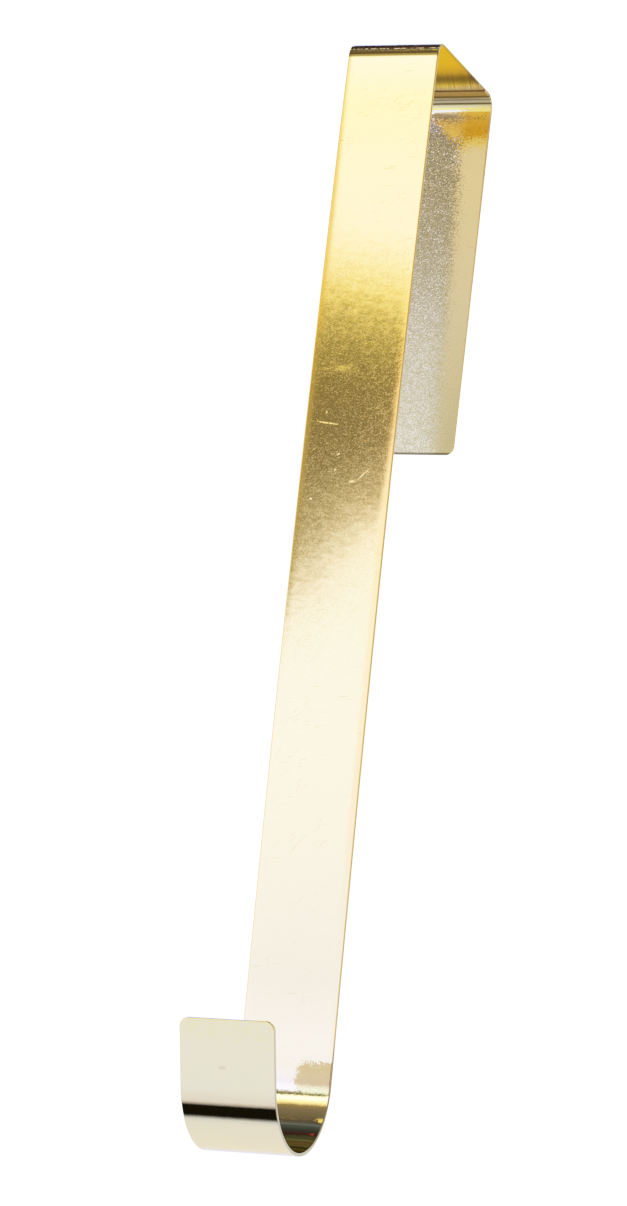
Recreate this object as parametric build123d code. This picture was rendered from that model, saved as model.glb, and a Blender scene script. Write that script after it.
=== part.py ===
from build123d import *
import os
from math import atan2, degrees, radians, tan

# Over-door wreath hanger: one flat steel strap, cut to length with rounded ends and bent into a
# bridge that sits on the door's top edge, a rear arm, a long front arm and a J hook at the bottom.
# Frame: origin on the bridge's underside, where the door's top edge bears, midway across the strap
# and midway between the arms. +X runs across the strap, +Y to the back of the door, +Z up.

# Strap stock
strap_width = 25.4
sheet = 1.0
end_corner = 2.5  # radius of the rounded corners at both ends of the strap
edge_round = 0.2  # tumbled break along every cut edge

# Bridge and its two tight bends
door_gap = 45.5  # between the arms' door sides, where they would meet the bridge's underside
bend_inside = 3.5

# Rear arm
rear_length = 98.5  # straight part below its bend
rear_lean = 1.75  # degrees past square, so the arm grips the door

# Front arm
arm_height = 276.0  # from its bend down to the start of the hook
arm_bow = 2.75  # how far its middle springs away from the door

# Hook
hook_inside = 19.25
lip_flare = 19.0  # degrees that the lip opens away from the arm
lip_length = 17.3  # straight part past the curl

# The bow is an arc over the arm's height. It leaves the bridge's bend and enters the hook at bow_angle.
bow_angle = degrees(2 * atan2(2 * arm_bow, arm_height))
bow_radius = (arm_height**2 / 4 + arm_bow**2) / (2 * arm_bow)

# Angles through which the strap is bent, walking from the bridge to either end
front_turn = 90 - bow_angle
rear_turn = 90 + rear_lean
hook_turn = 180 - lip_flare + bow_angle

# Where the bridge's flat ends at each bend
seat_front = -door_gap / 2 + bend_inside * tan(radians(front_turn / 2))
seat_rear = door_gap / 2 - bend_inside * tan(radians(rear_turn / 2))


def strap_face(out):
    """Side view of one broad face of the strap, as tangent lines and arcs, `out` from its door side."""
    seat = Line((seat_rear, out), (seat_front, out))
    rear_bend = JernArc(seat @ 0, -(seat % 0), bend_inside + out, -rear_turn)
    rear_arm = Line(rear_bend @ 1, rear_bend @ 1 + (rear_bend % 1) * rear_length)
    front_bend = JernArc(seat @ 1, seat % 1, bend_inside + out, front_turn)
    front_arm = JernArc(front_bend @ 1, front_bend % 1, bow_radius + out, 2 * bow_angle)
    hook = JernArc(front_arm @ 1, front_arm % 1, hook_inside + sheet - out, -hook_turn)
    lip = Line(hook @ 1, hook @ 1 + (hook % 1) * lip_length)
    return rear_arm, rear_bend, seat, front_bend, front_arm, hook, lip


# Side profile of the bent strap, carried across its width
door_side = strap_face(0)
show_side = strap_face(sheet)
rear_end = Line(door_side[0] @ 1, show_side[0] @ 1)
lip_end = Line(door_side[-1] @ 1, show_side[-1] @ 1)
profile = Plane.YZ * make_face([*door_side, lip_end, *show_side, rear_end])
strap = extrude(profile, strap_width / 2, both=True)

# Both ends have their corners rounded across the sheet
end_lines = [Plane.YZ * rear_end, Plane.YZ * lip_end]
end_centres = [line @ 0.5 + Vector(side * strap_width / 2) for line in end_lines for side in (-1, 1)]
end_edges = [strap.edges().sort_by_distance(centre)[0] for centre in end_centres]
strap = fillet(end_edges, end_corner)


def is_cut_edge(edge):
    """True where a broad face meets the strap's cut rim, false where faces run smoothly into each other."""
    normals = [face.normal_at(edge @ 0.5) for face in strap.faces() if edge in face.edges()]
    smooth_limit = 45  # degrees: the rim stands square to the broad faces
    return normals[0].get_angle(normals[1]) > smooth_limit


# The cut rim is broken all round on both faces
strap = fillet([edge for edge in strap.edges() if is_cut_edge(edge)], edge_round)
strap.label = "hanger_strap"

os.makedirs("parts", exist_ok=True)
export_step(strap, "parts/hanger_strap.step")
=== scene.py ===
import bpy
import numpy as np
from mathutils import Matrix, Vector


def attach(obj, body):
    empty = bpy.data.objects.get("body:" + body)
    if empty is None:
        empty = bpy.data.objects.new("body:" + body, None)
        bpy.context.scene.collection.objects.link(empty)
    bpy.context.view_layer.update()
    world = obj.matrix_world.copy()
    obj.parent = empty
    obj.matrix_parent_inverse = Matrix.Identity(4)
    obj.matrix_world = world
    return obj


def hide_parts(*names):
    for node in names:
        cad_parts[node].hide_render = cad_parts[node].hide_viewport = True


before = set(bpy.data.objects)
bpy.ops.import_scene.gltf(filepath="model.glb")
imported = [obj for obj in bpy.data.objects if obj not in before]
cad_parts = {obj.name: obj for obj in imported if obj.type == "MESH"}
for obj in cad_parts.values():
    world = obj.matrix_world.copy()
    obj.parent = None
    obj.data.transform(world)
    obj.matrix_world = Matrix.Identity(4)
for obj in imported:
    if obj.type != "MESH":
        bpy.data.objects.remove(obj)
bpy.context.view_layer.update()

# The hanger is one flat steel strap, sheared to length with rounded end corners, polished, bent cold
# and then plated a bright gold. The rolls leave its arms faintly crowned, and the shears draw its show
# side down along the cut edges. Nothing is fixed to it: it hangs by its bridge on the top of a door.
strap_width = 0.0254
sheet = 0.0010
end_corner = 0.0025
edge_round = 0.0002
door_gap = 0.0455
bend_inside = 0.0035
rear_length = 0.0985
rear_lean = np.radians(1.75)
arm_height = 0.276
arm_bow = 0.00275
hook_inside = 0.01925
lip_flare = np.radians(19.0)
lip_length = 0.0173

bow_angle = 2 * np.arctan2(2 * arm_bow, arm_height)
bow_radius = (arm_height**2 / 4 + arm_bow**2) / (2 * arm_bow)
front_turn = np.pi / 2 - bow_angle
rear_turn = np.pi / 2 + rear_lean
hook_turn = np.pi - lip_flare + bow_angle
seat_front = -door_gap / 2 + bend_inside * np.tan(front_turn / 2)
seat_rear = door_gap / 2 - bend_inside * np.tan(rear_turn / 2)
bend_middle = bend_inside + sheet / 2

# Stretches of the strap's middle line from the rear arm's free end to the lip's: length, turn, mesh rows
stretches = np.array([
    (rear_length, 0.0, 40),
    (bend_middle * rear_turn, rear_turn, 24),
    (seat_rear - seat_front, 0.0, 24),
    (bend_middle * front_turn, front_turn, 24),
    ((bow_radius + sheet / 2) * 2 * bow_angle, 2 * bow_angle, 120),
    ((hook_inside + sheet / 2) * hook_turn, -hook_turn, 120),
    (lip_length, 0.0, 16),
])


def strap_rows(corner_rows=14, rim_rows=5):
    """Distances along the strap where the mesh has a row: even steps in each stretch, and at both
    ends a quarter circle's steps for the rounded corner and for the rounded rim."""
    ends = np.concatenate(([0.0], np.cumsum(stretches[:, 0])))
    even = [np.linspace(a, b, int(n) + 1) for a, b, n in zip(ends[:-1], ends[1:], stretches[:, 2])]
    corner = end_corner * (1 - np.cos(np.linspace(0, np.pi / 2, corner_rows)))
    rim = edge_round * (1 - np.cos(np.linspace(0, np.pi / 2, rim_rows)))
    near = np.concatenate((corner, rim))
    rows = np.concatenate((*even, near, ends[-1] - near))
    return np.unique(np.round(rows, 7)), ends


def middle_line(rows, ends):
    """Heading and place of the strap's middle line in side view. The heading is a broken line over the
    distance walked, level in straight stretches and sloping in bends. The place is the running sum of
    the chords of those arcs, moved so that the bridge's underside lies at height nought."""
    headings = np.pi / 2 - rear_lean + np.concatenate(([0.0], np.cumsum(stretches[:, 1])))
    heading = np.interp(rows, ends, headings)
    step = np.diff(rows)
    turn = np.diff(heading)
    chord = step * np.sinc(turn / (2 * np.pi))
    middle = heading[:-1] + turn / 2
    back = np.concatenate(([0.0], np.cumsum(chord * np.cos(middle))))
    up = np.concatenate(([0.0], np.cumsum(chord * np.sin(middle))))
    bridge = np.argmin(np.abs(rows - ends[2]))
    return heading, back - back[bridge] + seat_rear, up - up[bridge] + sheet / 2


def strap_section(flat_points=41, round_points=5, crowding=0.93):
    """One loop round the strap's section, as shares: across the flat width from -1 to 1, and unit
    offsets of the rounded rim across and through the sheet. The show side comes first. Points on the
    flats follow a sine, so they crowd towards the edges."""
    swing = np.linspace(-np.pi / 2, np.pi / 2, flat_points) * crowding
    flat = np.sin(swing) / np.sin(np.pi / 2 * crowding)
    quarter = np.linspace(0, np.pi / 2, round_points + 1)[1:]
    rim = np.concatenate((quarter, quarter + np.pi / 2))
    across = np.concatenate((flat, np.ones(rim.size), -flat[1:], -np.ones(rim.size - 1)))
    angle = np.concatenate((np.zeros(flat_points), rim, np.full(flat_points - 1, np.pi), np.pi + rim[:-1]))
    return across, np.sin(angle), np.cos(angle)


def strap_surface(crown=0.00012, crown_fade=0.05, edge_draw=0.00006, draw_width=0.0022):
    """The section carried along the middle line. Near an end the half width falls by the corner's
    quarter circle and the half thickness by the rim's. The front arm bows across its width by the
    crown's parabola, fading out at both its bends, and the show side drops by another at its edges."""
    rows, ends = strap_rows()
    heading, back, up = middle_line(rows, ends)
    across, out_x, out_n = strap_section()
    from_end = np.clip(np.minimum(rows, ends[-1] - rows), 0, None)
    corner = np.clip(end_corner - from_end, 0, None)
    half_width = strap_width / 2 - end_corner + np.sqrt(end_corner**2 - corner**2)
    rim = np.clip(edge_round - from_end, 0, None)
    half_sheet = sheet / 2 - edge_round + np.sqrt(edge_round**2 - rim**2)
    x = (half_width - edge_round)[:, None] * across + edge_round * out_x
    depth = np.where(out_n >= 0, 1, -1) * (half_sheet - edge_round)[:, None] + edge_round * out_n
    at_edge = np.clip((np.abs(x) - strap_width / 2 + draw_width) / draw_width, 0, 1)
    depth = depth - np.where(out_n > 0, edge_draw * at_edge**2, 0)
    share = np.clip(np.minimum(rows - ends[4], ends[5] - rows) / crown_fade, 0, 1)
    crowned = depth - crown * (share**2 * (3 - 2 * share))[:, None] * (2 * x / strap_width)**2
    y = back[:, None] + crowned * np.sin(heading)[:, None]
    z = up[:, None] - crowned * np.cos(heading)[:, None]
    points = np.stack((x, y, z), axis=-1)
    place = np.stack((x, np.broadcast_to(rows[:, None], x.shape), depth), axis=-1)
    return points, place


points, place = strap_surface()
row_count, loop_count = points.shape[:2]
index = np.arange(row_count * loop_count).reshape(row_count, loop_count)
turned = np.roll(index, -1, axis=1)
quads = np.stack((index[:-1], index[1:], turned[1:], turned[:-1]), axis=-1).reshape(-1, 4)
faces = [*quads.tolist(), index[0].tolist(), index[-1][::-1].tolist()]
mesh = bpy.data.meshes.new("gold_strap")
mesh.from_pydata(points.reshape(-1, 3).tolist(), [], faces)
mesh.polygons.foreach_set("use_smooth", np.ones(len(mesh.polygons), dtype=bool))
mesh.attributes.new("strap_place", "FLOAT_VECTOR", "POINT").data.foreach_set("vector", place.ravel())
mesh.update()
strap = bpy.data.objects.new("gold_strap", mesh)
bpy.context.scene.collection.objects.link(strap)


def add_node(tree, kind, sockets=None, **settings):
    """Add a shader node, set its options, and give each named socket a value or another node's output."""
    node = tree.nodes.new("ShaderNode" + kind)
    for name, value in settings.items():
        setattr(node, name, value)
    for name, value in (sockets or {}).items():
        if isinstance(value, bpy.types.NodeSocket):
            tree.links.new(value, node.inputs[name])
        else:
            node.inputs[name].default_value = value
    return node


def maths(tree, operation, *values):
    """Result of one sum on single values, taken in their order."""
    return add_node(tree, "Math", dict(enumerate(values)), operation=operation).outputs[0]


def vectors(tree, operation, *values, **sockets):
    """Result of one sum on vectors. A length or a distance is a single value, the others are vectors."""
    node = add_node(tree, "VectorMath", {**dict(enumerate(values)), **sockets}, operation=operation)
    return node.outputs["Value" if operation in ("LENGTH", "DISTANCE") else "Vector"]


def fade(tree, value, start, end, low=0.0, high=1.0, soft=False):
    """Result that goes from low to high as the value goes from start to end, and is level outside. It
    goes evenly, or softly by three times the square of the share less twice its cube."""
    sockets = {"Value": value, "From Min": start, "From Max": end, "To Min": low, "To Max": high}
    kind = "SMOOTHSTEP" if soft else "LINEAR"
    return add_node(tree, "MapRange", sockets, interpolation_type=kind).outputs["Result"]


def band(tree, value, rise, fall, height=1.0, soft=False):
    """Result that stands at a height between two places and at nought outside them: a fade in over the
    rise times a fade out over the fall."""
    fade_in = fade(tree, value, *rise, soft=soft)
    fade_out = fade(tree, value, *fall, height, 0.0, soft)
    return maths(tree, "MULTIPLY", fade_in, fade_out)


def mix(tree, share, first, second, blend="MIX"):
    """Colour of the first with the second blended in by a share."""
    sockets = {"Fac": share, "Color1": first, "Color2": second}
    return add_node(tree, "MixRGB", sockets, blend_type=blend).outputs["Color"]


def colour_ramp(tree, share, stops):
    """Colour read at a share between stops of (share, colour), the first at nought and the last at one."""
    ramp = add_node(tree, "ValToRGB", {"Fac": share})
    elements = ramp.color_ramp.elements
    for at, colour in stops[1:-1]:
        elements.new(at).color = (*colour, 1.0)
    elements[0].color = (*stops[0][1], 1.0)
    elements[-1].color = (*stops[-1][1], 1.0)
    return ramp.outputs["Color"]


def new_group(name, inputs, outputs):
    """A shader node group with the named sockets, and its input and output nodes."""
    tree = bpy.data.node_groups.new(name, "ShaderNodeTree")
    for socket, kind in inputs.items():
        tree.interface.new_socket(socket, in_out="INPUT", socket_type="NodeSocket" + kind)
    for socket, kind in outputs.items():
        tree.interface.new_socket(socket, in_out="OUTPUT", socket_type="NodeSocket" + kind)
    return tree, tree.nodes.new("NodeGroupInput"), tree.nodes.new("NodeGroupOutput")


# Skin of the rolled and plated sheet: long shallow ripples across the strap and a fine grain over them.
# Both pitches are bumps to the metre across, along and through the strap.
ripple_pitch = (470.0, 860.0, 5000.0)
grain_pitch = (2600.0, 3000.0, 9000.0)
skin, skin_in, skin_out = new_group(
    "plate_skin", {"Place": "Vector", "Ripple": "Float", "Grain": "Float", "Tip": "Vector"},
    {"Normal": "Vector", "Grain": "Float"})


def skin_noise(pitch, detail):
    """Noise with bumps at a pitch over the strap's own place."""
    bumps = vectors(skin, "MULTIPLY", skin_in.outputs["Place"], pitch)
    return add_node(skin, "TexNoise", {"Vector": bumps, "Scale": 1.0, "Detail": detail})


def skin_tilt(noise, slope):
    """Tilt of the surface by a noise: its colour less middle grey, times the slope."""
    off_grey = vectors(skin, "SUBTRACT", noise.outputs["Color"], (0.5, 0.5, 0.5))
    return vectors(skin, "SCALE", off_grey, Scale=slope)


ripple = skin_noise(ripple_pitch, 1.5)
grain = skin_noise(grain_pitch, 1.0)
ripple_tilt = skin_tilt(ripple, skin_in.outputs["Ripple"])
grain_tilt = skin_tilt(grain, skin_in.outputs["Grain"])
tilt = vectors(skin, "ADD", ripple_tilt, grain_tilt)
flat_normal = add_node(skin, "NewGeometry").outputs["Normal"]
tipped = vectors(skin, "ADD", flat_normal, skin_in.outputs["Tip"])
tilted = vectors(skin, "ADD", tipped, tilt)
skin.links.new(vectors(skin, "NORMALIZE", tilted), skin_out.inputs["Normal"])
skin.links.new(grain.outputs["Fac"], skin_out.inputs["Grain"])

# Plating by distance along the strap, with painted light in it: richest on the bridge, and paler towards the
# hook and the rear arm's end. The paler stops at the bends and towards the hook are painted highlights that
# stand in for brighter light mirrored there. The strap's own place is in metres across it, along it from the
# rear arm's end, and through it.
gold = bpy.data.materials.new("gold_plate")
gold.use_nodes = True
gold_tree = gold.node_tree
shader = gold_tree.nodes["Principled BSDF"]
where = add_node(gold_tree, "Attribute", attribute_name="strap_place").outputs["Vector"]
across, along, through = add_node(gold_tree, "SeparateXYZ", {0: where}).outputs
half_metres = maths(gold_tree, "MULTIPLY", along, 2.0)
is_door = maths(gold_tree, "LESS_THAN", through, 0.0)
clean = (1.0, 1.0, 1.0)
show_red = 0.92
# Show side: gold, with painted highlights in the paler stops over the front bend and where the hook starts
show_gold_and_painted_light = colour_ramp(gold_tree, half_metres, [(at, (show_red, green, blue)) for at, green, blue in (
    (0.0, 0.66, 0.20), (0.20, 0.62, 0.14), (0.288, 0.62, 0.14), (0.294, 0.70, 0.30), (0.298, 0.68, 0.25),
    (0.302, 0.62, 0.165), (0.306, 0.62, 0.165), (0.313, 0.615, 0.150), (0.327, 0.61, 0.130),
    (0.355, 0.61, 0.150), (0.400, 0.61, 0.165), (0.418, 0.61, 0.148), (0.434, 0.605, 0.120),
    (0.47, 0.605, 0.115), (0.51, 0.61, 0.15), (0.62, 0.69, 0.20), (0.845, 0.74, 0.30),
    (0.851, 0.75, 0.37), (0.855, 0.75, 0.37), (0.8588, 0.72, 0.22), (0.8627, 0.72, 0.22),
    (0.870, 0.74, 0.30), (1.0, 0.74, 0.30),
)])
# Door side: gold with painted light in it. The dark brown band across the bridge's underside near the rear
# bend is painted shade, and the lighter and darker stops beside the bends and on the arms are painted
# reflections of what those faces mirror.
door_gold_and_painted_light = colour_ramp(gold_tree, half_metres, [
    (0.0, (0.92, 0.79, 0.34)), (0.08, (0.92, 0.76, 0.34)), (0.15, (0.86, 0.67, 0.26)),
    (0.181, (0.86, 0.66, 0.27)), (0.187, (0.74, 0.57, 0.29)), (0.193, (0.80, 0.64, 0.36)),
    (0.1975, (1.0, 0.86, 0.42)), (0.203, (1.0, 0.86, 0.40)), (0.2145, (1.0, 0.76, 0.36)),
    (0.2205, (0.84, 0.61, 0.30)), (0.227, (0.82, 0.56, 0.22)), (0.2295, (0.50, 0.33, 0.12)),
    (0.2325, (0.24, 0.14, 0.06)), (0.2355, (0.17, 0.07, 0.03)), (0.2405, (0.17, 0.07, 0.03)),
    (0.2435, (0.45, 0.26, 0.05)), (0.2475, (0.70, 0.42, 0.04)), (0.255, (0.86, 0.53, 0.02)),
    (0.262, (0.92, 0.58, 0.008)), (0.287, (0.92, 0.57, 0.002)), (0.2985, (0.95, 0.84, 0.29)),
    (0.306, (0.98, 0.88, 0.29)), (0.314, (1.0, 0.89, 0.30)), (0.38, (0.87, 0.76, 0.26)),
    (0.468, (0.64, 0.57, 0.19)), (0.53, (0.92, 0.76, 0.29)), (0.80, (0.92, 0.75, 0.30)),
    (0.86, (0.92, 0.74, 0.30)), (1.0, (0.92, 0.74, 0.30)),
])

# Narrow dark and light lines across the inside of the rear bend are painted reflections, standing in for
# what the bend's curve mirrors
fold_reflection_run = fade(gold_tree, along, 0.0995, 0.1115)
painted_fold_reflections = colour_ramp(gold_tree, fold_reflection_run, [
    (0.0, clean), (0.105, clean), (0.13, (0.26, 0.23, 0.12)), (0.16, (0.30, 0.26, 0.15)),
    (0.175, clean), (0.225, clean), (0.243, (0.42, 0.40, 0.36)), (0.275, (0.46, 0.42, 0.38)),
    (0.287, clean), (0.325, (1.0, 0.98, 0.95)), (0.35, (0.44, 0.38, 0.30)), (0.40, (0.40, 0.34, 0.26)),
    (0.44, (1.0, 0.88, 0.78)), (0.70, (1.0, 0.88, 0.78)), (0.735, (0.16, 0.09, 0.03)),
    (0.785, (0.16, 0.09, 0.03)), (0.83, (0.80, 0.76, 0.64)), (1.0, clean),
])
door_painted_folds = mix(gold_tree, 1.0, door_gold_and_painted_light, painted_fold_reflections, "MULTIPLY")

# The bridge's underside is brushed on a slight slant, and it shows most towards the rear bend
brush_slope = -0.26
brush_pitch = 1900.0
brush_slant = maths(gold_tree, "MULTIPLY_ADD", along, brush_slope, across)
brush = add_node(gold_tree, "TexNoise", {"W": brush_slant, "Scale": brush_pitch, "Detail": 1.0},
                 noise_dimensions="1D").outputs["Fac"]
brush_tone = fade(gold_tree, brush, 0.36, 0.62, 0.58, 1.08)
brush_band = band(gold_tree, along, (0.1085, 0.1115), (0.1195, 0.1270))
door_brushed = mix(gold_tree, brush_band, door_painted_folds, brush_tone, "MULTIPLY")

# A dark band along the lower edge of the front bend's outside is painted shade, standing in for the dark
# ceiling that the bend mirrors
bend_shade_run = fade(gold_tree, along, 0.1470, 0.1510)
painted_bend_shade = colour_ramp(gold_tree, bend_shade_run, [
    (0.0, clean), (0.35, clean), (0.44, (0.66, 0.66, 0.48)), (0.52, (0.32, 0.31, 0.19)),
    (0.62, (0.24, 0.23, 0.12)), (0.67, (0.32, 0.31, 0.17)), (0.73, (0.85, 0.83, 0.50)), (0.79, clean),
    (1.0, clean),
])
show_painted_bend = mix(gold_tree, 1.0, show_gold_and_painted_light, painted_bend_shade, "MULTIPLY")
tone = mix(gold_tree, is_door, show_painted_bend, door_brushed)

# The hook's cut rim is painted in the tones it mirrors: brown on the arm's side, whiter towards the lip.
# This is painted reflection.
rim_painted_reflection = colour_ramp(gold_tree, half_metres, [
    (0.0, (0.92, 0.74, 0.30)), (0.825, (0.92, 0.74, 0.30)), (0.84, (0.50, 0.42, 0.24)),
    (0.862, (0.50, 0.42, 0.24)), (0.878, (0.86, 0.76, 0.45)), (0.895, (0.96, 0.87, 0.62)),
    (1.0, (0.96, 0.87, 0.62)),
])
from_middle = maths(gold_tree, "ABSOLUTE", across)
at_rim = fade(gold_tree, from_middle, 0.01252, 0.01260)
past_arm = fade(gold_tree, along, 0.412, 0.418)
on_rim = maths(gold_tree, "MULTIPLY", at_rim, past_arm)
rimmed = mix(gold_tree, on_rim, tone, rim_painted_reflection)

# The strap's other end, at the foot of the rear arm, is painted dull brown: painted shade on its cut face,
# which is turned from the light
painted_end_shade = (0.26, 0.20, 0.07, 1.0)
rear_cut = fade(gold_tree, along, 0.0003, 0.0006, 1.0, 0.0)
edged = mix(gold_tree, rear_cut, rimmed, painted_end_shade)

# Handling leaves short fine scratches, most of them across the strap, in loose clusters
scratch_pitch = (260.0, 8500.0, 900.0)
cluster_pitch = 95.0
cluster_weight = 0.25
scratch_soft = 0.05
scratch, scratch_in, scratch_out = new_group(
    "fine_scratches", {"Place": "Vector", "Turn": "Float", "Stretch": "Vector", "Rarity": "Float"},
    {"Mask": "Float"})
scratch_sockets = {"Vector": scratch_in.outputs["Place"], "Angle": scratch_in.outputs["Turn"]}
scratch_turn = add_node(scratch, "VectorRotate", scratch_sockets, rotation_type="Z_AXIS")
scratch_place = vectors(scratch, "MULTIPLY", scratch_turn.outputs[0], scratch_in.outputs["Stretch"])
streak = add_node(scratch, "TexNoise", {"Vector": scratch_place, "Scale": 1.0, "Detail": 0.0})
cluster = add_node(scratch, "TexNoise", {"Vector": scratch_in.outputs["Place"], "Scale": cluster_pitch,
                                         "Detail": 0.0})
loose = maths(scratch, "MULTIPLY_ADD", cluster.outputs["Fac"], cluster_weight, streak.outputs["Fac"])
over = maths(scratch, "SUBTRACT", loose, scratch_in.outputs["Rarity"])
scratch.links.new(fade(scratch, over, 0.0, scratch_soft), scratch_out.inputs["Mask"])
across_marks, skew_marks = [
    add_node(gold_tree, "Group", {"Place": where, "Turn": turn_by, "Stretch": scratch_pitch,
                                  "Rarity": rarity}, node_tree=scratch)
    for turn_by, rarity in ((0.12, 0.95), (0.9, 0.96))
]
scratched = maths(gold_tree, "MAXIMUM", across_marks.outputs["Mask"], skew_marks.outputs["Mask"])

# Specks of dust under the plating stand about four millimetres apart where there are any
speck_pitch = 270.0
speck_share = 0.16
speck = add_node(gold_tree, "TexVoronoi", {"Vector": where, "Scale": speck_pitch})
speck_pick = add_node(gold_tree, "SeparateXYZ", {0: speck.outputs["Color"]}).outputs["X"]
speck_few = maths(gold_tree, "LESS_THAN", speck_pick, speck_share)
speck_dot = fade(gold_tree, speck.outputs["Distance"], 0.035, 0.075, 1.0, 0.0)
specks = maths(gold_tree, "MULTIPLY", speck_few, speck_dot)
handled = maths(gold_tree, "MAXIMUM", scratched, specks)
off_hook = fade(gold_tree, along, 0.39, 0.43, 1.0, 0.0)
marks = maths(gold_tree, "MULTIPLY", handled, off_hook)

# One small grey scuff lies near the middle of the lip. Its scale is one over its half sizes.
scuff_at = (-0.0013, 0.4870, -0.0005)
scuff_scale = (620.0, 1300.0, 500.0)
scuff_share = 0.20
scuff_grey = (0.10, 0.09, 0.05, 1.0)
scuff_from = vectors(gold_tree, "SUBTRACT", where, scuff_at)
scuff_size = vectors(gold_tree, "MULTIPLY", scuff_from, scuff_scale)
scuff_reach = vectors(gold_tree, "LENGTH", scuff_size)
scuff = fade(gold_tree, scuff_reach, 0.15, 1.0, scuff_share, 0.0, soft=True)
scuffed = mix(gold_tree, scuff, edged, scuff_grey)
gold_tree.links.new(scuffed, shader.inputs["Base Color"])

# The rear arm's inner face keeps the sheet's granular skin. The bend's tail leaves it tipped downwards,
# most at the top, and the arm is twisted a little towards its free end.
smooth_rough = 0.045
on_rear = fade(gold_tree, along, 0.0990, 0.1012, 1.0, 0.0, soft=True)
raw = maths(gold_tree, "MULTIPLY", on_rear, is_door)
rear_rough = fade(gold_tree, along, 0.03, 0.09, 0.145, 0.075)
raw_rough = fade(gold_tree, raw, 0.0, 1.0, smooth_rough, rear_rough)
rear_sag = fade(gold_tree, along, 0.0, 0.080, -0.0410, -0.0512)
tail_from = fade(gold_tree, across, -0.002, 0.004, 0.0977, 0.0967)
tail_to = fade(gold_tree, across, -0.002, 0.004, 0.0993, 0.1001)
rear_tail = fade(gold_tree, along, tail_from, tail_to, 0.0, -0.10, soft=True)
curl_side = fade(gold_tree, across, 0.0, 0.010, 0.0, -0.030, soft=True)
curl_top = fade(gold_tree, along, 0.078, 0.088, soft=True)
left_side = fade(gold_tree, across, -0.003, 0.003, -0.009, 0.0, soft=True)
left_top = fade(gold_tree, along, 0.0890, 0.0945, soft=True)
rear_fall = maths(gold_tree, "ADD", rear_sag, rear_tail)
rear_left = maths(gold_tree, "MULTIPLY_ADD", left_side, left_top, rear_fall)
rear_drop = maths(gold_tree, "MULTIPLY_ADD", curl_side, curl_top, rear_left)
rear_twist = fade(gold_tree, along, 0.0, rear_length, -0.042, -0.010)
rear_lie = add_node(gold_tree, "CombineXYZ", {"X": rear_twist, "Z": rear_drop}).outputs[0]
rear_tip = vectors(gold_tree, "SCALE", rear_lie, Scale=raw)

# The bridge's underside is dull too, where the bending tool and then doors have rubbed it. The outside
# of the front bend is granular, and the scratches and specks are rough.
smooth_slope = 0.009
bend_dull = 0.14
bend_bumps = 0.12
mark_dull = 0.6
rub_band = band(gold_tree, along, (0.0992, 0.1006), (0.1420, 0.1450), soft=True)
rub = maths(gold_tree, "MULTIPLY", rub_band, is_door)
rub_depth = fade(gold_tree, along, 0.1050, 0.1110, 0.36, 0.15)
rough = maths(gold_tree, "MULTIPLY_ADD", rub, rub_depth, raw_rough)
rear_slope = fade(gold_tree, along, 0.02, 0.085, 0.055, 0.105)
raw_slope = fade(gold_tree, raw, 0.0, 1.0, smooth_slope, rear_slope)
bend_grain = band(gold_tree, along, (0.1430, 0.1440), (0.1478, 0.1490))
bend_rough = maths(gold_tree, "MULTIPLY_ADD", bend_grain, bend_dull, rough)
marked = maths(gold_tree, "MULTIPLY_ADD", marks, mark_dull, bend_rough)
bend_slope = maths(gold_tree, "MULTIPLY_ADD", bend_grain, bend_bumps, raw_slope)

# The hook starts gently: the arm still leans out where the roller took hold, then turns in late. The
# stops are greys that stand for the lean, and middle grey for none.
hook_lean = 0.05
hook_run = fade(gold_tree, along, 0.40, 0.44)
hook_set = colour_ramp(gold_tree, hook_run, [(at, (grey, grey, grey)) for at, grey in (
    (0.0, 0.5), (0.36, 0.76), (0.60, 0.76), (0.67, 0.5), (0.712, 0.17), (0.735, 0.17), (0.80, 0.46),
    (1.0, 0.5),
)])
hook_rise = fade(gold_tree, hook_set, 0.0, 1.0, -hook_lean, hook_lean)

# A few marks stand out on the dark middle of the front arm: two scratches, a rubbed place and some nicks.
# Each row gives its place across and along, half its length and width, its turn, and how far its wall
# leans up. They lie on the show side only.
arm_marks = [
    (-0.00643, 0.25235, 0.0060, 0.00034, -0.13, 0.039), (-0.0039, 0.2374, 0.0056, 0.0016, -0.06, 0.010),
    (0.00507, 0.26627, 0.0036, 0.00020, 0.78, -0.022), (0.0022, 0.2682, 0.0012, 0.0006, 0.0, -0.014),
    (-0.00241, 0.26085, 0.0006, 0.00024, 0.6, -0.050), (-0.00278, 0.26506, 0.0004, 0.0003, 0.3, -0.045),
    (-0.00876, 0.27301, 0.0005, 0.0003, -0.5, -0.045), (-0.00697, 0.24952, 0.00036, 0.0007, 0.0, 0.036),
]
show_depth = sheet / 2
mark_depth_scale = 2500.0
mark_pitch = 1700.0
mark_break = add_node(gold_tree, "TexNoise", {"Vector": where, "Scale": mark_pitch, "Detail": 1.0})
mark_some = fade(gold_tree, mark_break.outputs["Fac"], 0.36, 0.56, 0.45, 1.0)
mark_lean = hook_rise
for mark_x, mark_s, half_length, half_width, turn_by, lean_up in arm_marks:
    mark_from = vectors(gold_tree, "SUBTRACT", where, (mark_x, mark_s, show_depth))
    mark_laid = add_node(gold_tree, "VectorRotate", {"Vector": mark_from, "Angle": turn_by},
                         rotation_type="Z_AXIS")
    mark_scale = (1 / half_length, 1 / half_width, mark_depth_scale)
    mark_size = vectors(gold_tree, "MULTIPLY", mark_laid.outputs[0], mark_scale)
    mark_reach = vectors(gold_tree, "LENGTH", mark_size)
    mark = fade(gold_tree, mark_reach, 0.3, 1.0, lean_up, 0.0)
    mark_lean = maths(gold_tree, "MULTIPLY_ADD", mark, mark_some, mark_lean)

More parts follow.
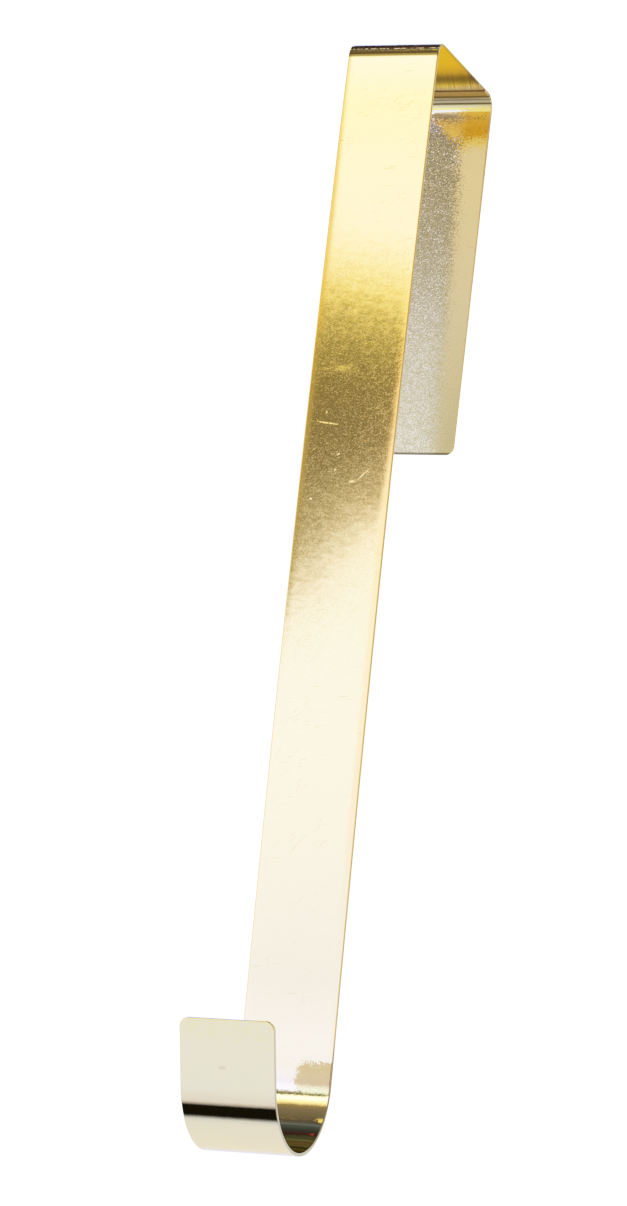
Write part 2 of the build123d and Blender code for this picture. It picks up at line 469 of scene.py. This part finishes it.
# The front arm is twisted a little about its middle, and the stretched plating at the hook's start is
# granular
ripple_slope = 0.0095
hook_bumps = 0.04
twist_side = fade(gold_tree, across, -0.010, 0.010, -0.0040, 0.0045)
twist_here = band(gold_tree, along, (0.240, 0.256), (0.268, 0.286), soft=True)
twist = maths(gold_tree, "MULTIPLY_ADD", twist_side, twist_here, mark_lean)
arm_tip = add_node(gold_tree, "CombineXYZ", {"Z": twist}).outputs[0]
tips = vectors(gold_tree, "ADD", rear_tip, arm_tip)
hook_grain = band(gold_tree, along, (0.4165, 0.4195), (0.4360, 0.4420), hook_bumps)
grain_slope = maths(gold_tree, "ADD", bend_slope, hook_grain)
skin_sockets = {"Place": where, "Ripple": ripple_slope, "Grain": grain_slope, "Tip": tips}
skin_node = add_node(gold_tree, "Group", skin_sockets, node_tree=skin)

# Fine pits dull the plating on the show side of the front arm and of the hook's start
pit_dull = 0.09
pit_place = colour_ramp(gold_tree, half_metres, [(at, (share, share, share)) for at, share in (
    (0.0, 0.0), (0.38, 0.0), (0.42, 1.0), (0.64, 1.0), (0.70, 0.0), (0.855, 0.0), (0.862, 1.0), (0.874, 1.0),
    (0.886, 0.0), (1.0, 0.0),
)])
pit_side = maths(gold_tree, "GREATER_THAN", pit_place, is_door)
pits = fade(gold_tree, skin_node.outputs["Grain"], 0.40, 0.75, 0.0, pit_dull)
pits_shown = maths(gold_tree, "MULTIPLY", pits, pit_place)
pitted = maths(gold_tree, "MULTIPLY_ADD", pits_shown, pit_side, marked)
gold_tree.links.new(pitted, shader.inputs["Roughness"])

# Bending leaves a broken row of small creases along the crest of the front bend
crease_pitch = 600.0
crease_lean = (0.0, -0.44, -0.39)
crest_band = band(gold_tree, along, (0.14756, 0.14764), (0.14774, 0.14782))
crest_break = add_node(gold_tree, "TexNoise", {"W": across, "Scale": crease_pitch, "Detail": 1.0},
                       noise_dimensions="1D").outputs["Fac"]
crest_some = fade(gold_tree, crest_break, 0.42, 0.52)
crease = maths(gold_tree, "MULTIPLY", crest_band, crest_some)
crease_tip = vectors(gold_tree, "SCALE", crease_lean, Scale=crease)
creased = vectors(gold_tree, "ADD", skin_node.outputs["Normal"], crease_tip)
gold_tree.links.new(vectors(gold_tree, "NORMALIZE", creased), shader.inputs["Normal"])
shader.inputs["Metallic"].default_value = 1.0
shader.inputs["Specular Tint"].default_value = (1.0, 0.97, 0.75, 1.0)
mesh.materials.append(gold)
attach(strap, "root")
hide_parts("hanger_strap")

# The room is a cool white studio. Its light comes from the front, its ceiling is dark, a narrow gap in
# the sweep below the hook is black and something dark stands in the front wall, left of the camera.
# It is painted by degrees of climb from straight ahead, over the top to the back and on round below.
world = bpy.data.worlds.new("studio")
bpy.context.scene.world = world
world.use_nodes = True
world.cycles.sampling_method = "NONE"
sky = world.node_tree
ray = add_node(sky, "TexCoord").outputs["Generated"]
path = add_node(sky, "LightPath")
side, to_back, upward = add_node(sky, "SeparateXYZ", {0: ray}).outputs
ahead = maths(sky, "MULTIPLY", to_back, -1.0)
climb = maths(sky, "ARCTAN2", upward, ahead)
degree = maths(sky, "DEGREES", climb)
turn_share = fade(sky, degree, -180.0, 180.0)
room = [
    (-180, (0.97, 1.06, 2.20)), (-150, (1.03, 1.08, 1.90)), (-88, (0.92, 1.05, 1.93)),
    (-81.5, (0.77, 0.90, 1.80)), (-78.2, (0.32, 0.38, 0.75)), (-75.5, (0.008, 0.007, 0.006)),
    (-59, (0.008, 0.007, 0.006)), (-55.3, (0.60, 0.62, 1.15)), (-52.3, (0.88, 0.96, 1.80)),
    (-31, (0.98, 1.15, 2.25)), (2.9, (1.15, 1.33, 2.78)), (8.2, (1.48, 1.63, 3.60)),
    (11.5, (1.51, 1.77, 4.30)), (20.6, (1.74, 1.97, 4.20)), (24.4, (1.74, 2.08, 4.50)),
    (30, (1.74, 1.75, 2.20)), (33.5, (1.40, 1.26, 1.40)), (38, (0.33, 0.28, 0.27)),
    (44.7, (0.23, 0.21, 0.27)), (55, (0.18, 0.17, 0.18)), (65.5, (0.10, 0.09, 0.12)),
    (69, (0.10, 0.11, 0.16)), (71.5, (0.16, 0.22, 0.42)), (74, (0.08, 0.11, 0.18)),
    (83, (0.04, 0.05, 0.08)), (91, (0.04, 0.02, 0.03)), (96, (0.03, 0.02, 0.03)),
    (122, (0.03, 0.03, 0.04)), (129.5, (1.45, 2.20, 8.00)), (136, (0.86, 1.02, 3.40)),
    (180, (0.97, 1.06, 2.20)),
]
ring = colour_ramp(sky, turn_share, [((angle + 180) / 360, colour) for angle, colour in room])

# A dark wedge opens to the left in the front wall. Its upper edge rises that way and its lower edge
# falls, up to a limit past which both run level.
edge_span = 5.0
wedge_limit = -0.378
wedge_side = maths(sky, "MAXIMUM", side, wedge_limit)


def wedge_edge(slope, start, shares):
    """Share of the wall's light left across one edge of the wedge, from stops of (degrees, colour). The
    degrees are those of climb plus the slope times the place to the side."""
    lean = maths(sky, "MULTIPLY_ADD", wedge_side, slope, degree)
    edge_share = fade(sky, lean, start, start + edge_span)
    return colour_ramp(sky, edge_share, [((at - start) / edge_span, colour) for at, colour in shares])


upper_edge = wedge_edge(11.0, 12.0, [
    (12.0, (0.145, 0.13, 0.068)), (13.2, (0.145, 0.13, 0.068)), (13.7, (0.17, 0.16, 0.088)),
    (14.35, (0.225, 0.21, 0.112)), (14.7, (0.29, 0.28, 0.105)), (15.05, (0.46, 0.42, 0.165)),
    (15.3, (0.72, 0.65, 0.28)), (15.5, (0.84, 0.77, 0.43)), (15.85, (0.93, 0.89, 0.68)), (17.0, clean),
])
lower_edge = wedge_edge(-22.0, 20.0, [
    (20.0, clean), (20.65, (0.98, 0.95, 0.94)), (21.05, (0.92, 0.85, 0.82)), (21.45, (0.62, 0.61, 0.52)),
    (21.7, (0.54, 0.50, 0.39)), (22.1, (0.38, 0.345, 0.23)), (22.5, (0.31, 0.29, 0.18)),
    (23.1, (0.21, 0.195, 0.115)), (23.6, (0.15, 0.135, 0.070)), (25.0, (0.15, 0.135, 0.070)),
])
wedge = mix(sky, 1.0, upper_edge, lower_edge, "LIGHTEN")
front_wall = mix(sky, 1.0, ring, wedge, "MULTIPLY")

# Above the camera the front wall is dim at its far left, and a little warmer to the right of the wedge
far_tint = (0.68, 0.58, 0.24, 1.0)
far_darkest = (0.47, 0.47, 0.38, 1.0)
near_tint = (1.0, 0.88, 0.74, 1.0)
far_end = fade(sky, side, -0.45, -0.370, 1.0, 0.0, soft=True)
far_height = band(sky, degree, (12.3, 15.0), (30.0, 34.0), soft=True)
dim = maths(sky, "MULTIPLY", far_end, far_height)
far_tone = mix(sky, 1.0, front_wall, far_tint, "MULTIPLY")
far_least = mix(sky, 1.0, far_tone, far_darkest, "LIGHTEN")
dimmed = mix(sky, dim, front_wall, far_least)
near_end = fade(sky, side, -0.32, -0.265, soft=True)
near_height = band(sky, degree, (4.0, 9.0), (16.0, 20.0), soft=True)
near = maths(sky, "MULTIPLY", near_end, near_height)
warmed = mix(sky, near, dimmed, near_tint, "MULTIPLY")

# Low on the left a warm lamp stands before the front wall
warm_lamp = (1.10, 1.15, 0.3, 1.0)
lamp_side = fade(sky, side, -0.24, -0.20, 1.0, 0.0, soft=True)
lamp_height = band(sky, degree, (-31.0, -28.5), (-20.0, -17.0), soft=True)
lamp = maths(sky, "MULTIPLY", lamp_side, lamp_height)
lit = mix(sky, lamp, warmed, warm_lamp)


# Three small things stand out in the hook and between the arms: a cool light high at the back, and a gold
# lamp and a red one overhead
def spot(light, at, stretch, reach, colour, blend="MIX", mirrorings=None):
    """Blend a soft round spot of colour into the room at a direction, squeezed sideways by the stretch. It
    fades from full to nothing over the reach, and may show only after a number of mirrorings."""
    squeezed = vectors(sky, "MULTIPLY", ray, (stretch, 1.0, 1.0))
    off = vectors(sky, "DISTANCE", squeezed, (stretch * at[0], at[1], at[2]))
    seen = fade(sky, off, *reach, 1.0, 0.0, soft=True)
    if mirrorings:
        chosen = maths(sky, "COMPARE", path.outputs["Ray Depth"], mirrorings + 1.0, 0.5)
        seen = maths(sky, "MULTIPLY", seen, chosen)
    return mix(sky, seen, light, (*colour, 1.0), blend)


cooled = spot(lit, (-0.335, 0.901, 0.275), 1.0, (0.20, 0.32), (1.0, 1.0, 1.55), "MULTIPLY")
glint = spot(cooled, (-0.288, -0.457, 0.841), 1.6, (0.045, 0.080), (1.20, 1.05, 0.45), mirrorings=1)
glow = spot(glint, (-0.331, 0.012, 0.9435), 3.6, (0.025, 0.058), (0.42, 0.05, 0.08), mirrorings=1)

# To both sides of what the strap mirrors in the photograph the walls are plain: neither as bright nor as
# dark as here, and dimmer and warmer to the right
middle_side = -0.33
plain_darkest = (0.34, 0.32, 0.42, 1.0)
plain_brightest = (1.35, 1.12, 1.60, 1.0)
right_tone = (0.66, 0.63, 0.50, 1.0)
off_middle = maths(sky, "SUBTRACT", side, middle_side)
off_side = maths(sky, "ABSOLUTE", off_middle)
plain_side = fade(sky, off_side, 0.14, 0.20, soft=True)
plain_low = mix(sky, 1.0, ring, plain_darkest, "LIGHTEN")
plain = mix(sky, 1.0, plain_low, plain_brightest, "DARKEN")
around = mix(sky, plain_side, glow, plain)
right_end = fade(sky, side, -0.05, 0.25, soft=True)
walls = mix(sky, right_end, around, right_tone, "MULTIPLY")

# The plating mirrors that room, while the floor and the camera get plain white light
floor_light = (1.0, 1.0, 1.0, 1.0)
backdrop_light = (1.65, 1.65, 1.65, 1.0)
mirrored = mix(sky, path.outputs["Is Glossy Ray"], floor_light, walls)
white = mix(sky, path.outputs["Is Camera Ray"], mirrored, backdrop_light)
sky.links.new(white, sky.nodes["Background"].inputs["Color"])

# The floor is pale card, well below the hook and below the camera, so the strap hangs free above it. It is
# one round sheet, seen from above only, and the plating doesn't mirror it.
floor_reach = 3.0
floor_height = -0.5
floor_sides = 96
floor_turn = np.linspace(0, 2 * np.pi, floor_sides, endpoint=False)
floor_x = floor_reach * np.cos(floor_turn)
floor_y = floor_reach * np.sin(floor_turn)
floor_points = np.stack((floor_x, floor_y, np.full(floor_sides, floor_height)), axis=-1)
floor_mesh = bpy.data.meshes.new("floor")
floor_mesh.from_pydata(floor_points.tolist(), [], [list(range(floor_sides))])
floor = bpy.data.objects.new("floor", floor_mesh)
floor.visible_glossy = False
bpy.context.scene.collection.objects.link(floor)
card = bpy.data.materials.new("pale_card")
card.use_nodes = True
card_tree = card.node_tree
card_shader = card_tree.nodes["Principled BSDF"]
card_shader.inputs["Base Color"].default_value = (0.86, 0.85, 0.83, 1.0)
card_shader.inputs["Roughness"].default_value = 0.8
card_back = add_node(card_tree, "NewGeometry")
card_clear = add_node(card_tree, "BsdfTransparent")
card_seen = add_node(card_tree, "MixShader", {0: card_back.outputs["Backfacing"],
                                              1: card_shader.outputs["BSDF"], 2: card_clear.outputs["BSDF"]})
card_tree.links.new(card_seen.outputs[0], card_tree.nodes["Material Output"].inputs["Surface"])
floor_mesh.materials.append(card)

# One large soft lamp, a round panel behind cloth, hangs above and to the left of the camera. It draws the
# strap's faint shadow on the floor, and neither the camera nor the plating sees the panel itself.
soft_place = (-0.9, -1.1, 1.6)
soft_facing = (0.9, 1.1, -1.9)
soft = bpy.data.lights.new("soft_lamp", "AREA")
soft.shape = "DISK"
soft.size = 1.2
soft.energy = 14.0
soft_lamp = bpy.data.objects.new("soft_lamp", soft)
soft_lamp.location = soft_place
soft_lamp.rotation_mode = "QUATERNION"
soft_lamp.rotation_quaternion = Vector(soft_facing).to_track_quat("-Z", "Y")
soft_lamp.visible_glossy = False
soft_lamp.visible_camera = False
bpy.context.scene.collection.objects.link(soft_lamp)

# The picture is exposed for the gold's dark parts. A film curve runs its brightest parts gently into
# white, which is reached at more than the usual light.
film_white = 1.6
view = bpy.context.scene.view_settings
view.view_transform = "Standard"
view.use_curve_mapping = True
film = view.curve_mapping
film.white_level = (film_white, film_white, film_white)
film.extend = "HORIZONTAL"
curve = film.curves[3].points
for light, tone_out in ((0.5, 0.5), (0.7, 0.665), (0.85, 0.765), (1.0, 0.845), (1.2, 0.925), (1.4, 0.975)):
    curve.new(light / film_white, tone_out)
curve[0].handle_type = "VECTOR"
film.update()

# The camera stands on its tripod to the front and right of the hook, below the middle of the strap. It
# looks up with a long lens and is rolled a little, as in the photograph.
view_side = np.radians(21.228)
view_rise = np.radians(-12.055)
view_roll = np.radians(6.114)
view_distance = 1.27205
aim = Vector((-0.01319, -0.00516, -0.14987))
camera = bpy.data.cameras.new("camera")
camera.sensor_width = 36.0
camera.lens = 143.04
camera_object = bpy.data.objects.new("camera", camera)
bpy.context.scene.collection.objects.link(camera_object)
bpy.context.scene.camera = camera_object
turn = Matrix.Rotation(view_side, 3, "Z") @ Matrix.Rotation(np.pi / 2 - view_rise, 3, "X")
turn = turn @ Matrix.Rotation(view_roll, 3, "Z")
camera_object.rotation_mode = "QUATERNION"
camera_object.rotation_quaternion = turn.to_quaternion()
camera_object.location = aim + turn @ Vector((0, 0, view_distance))
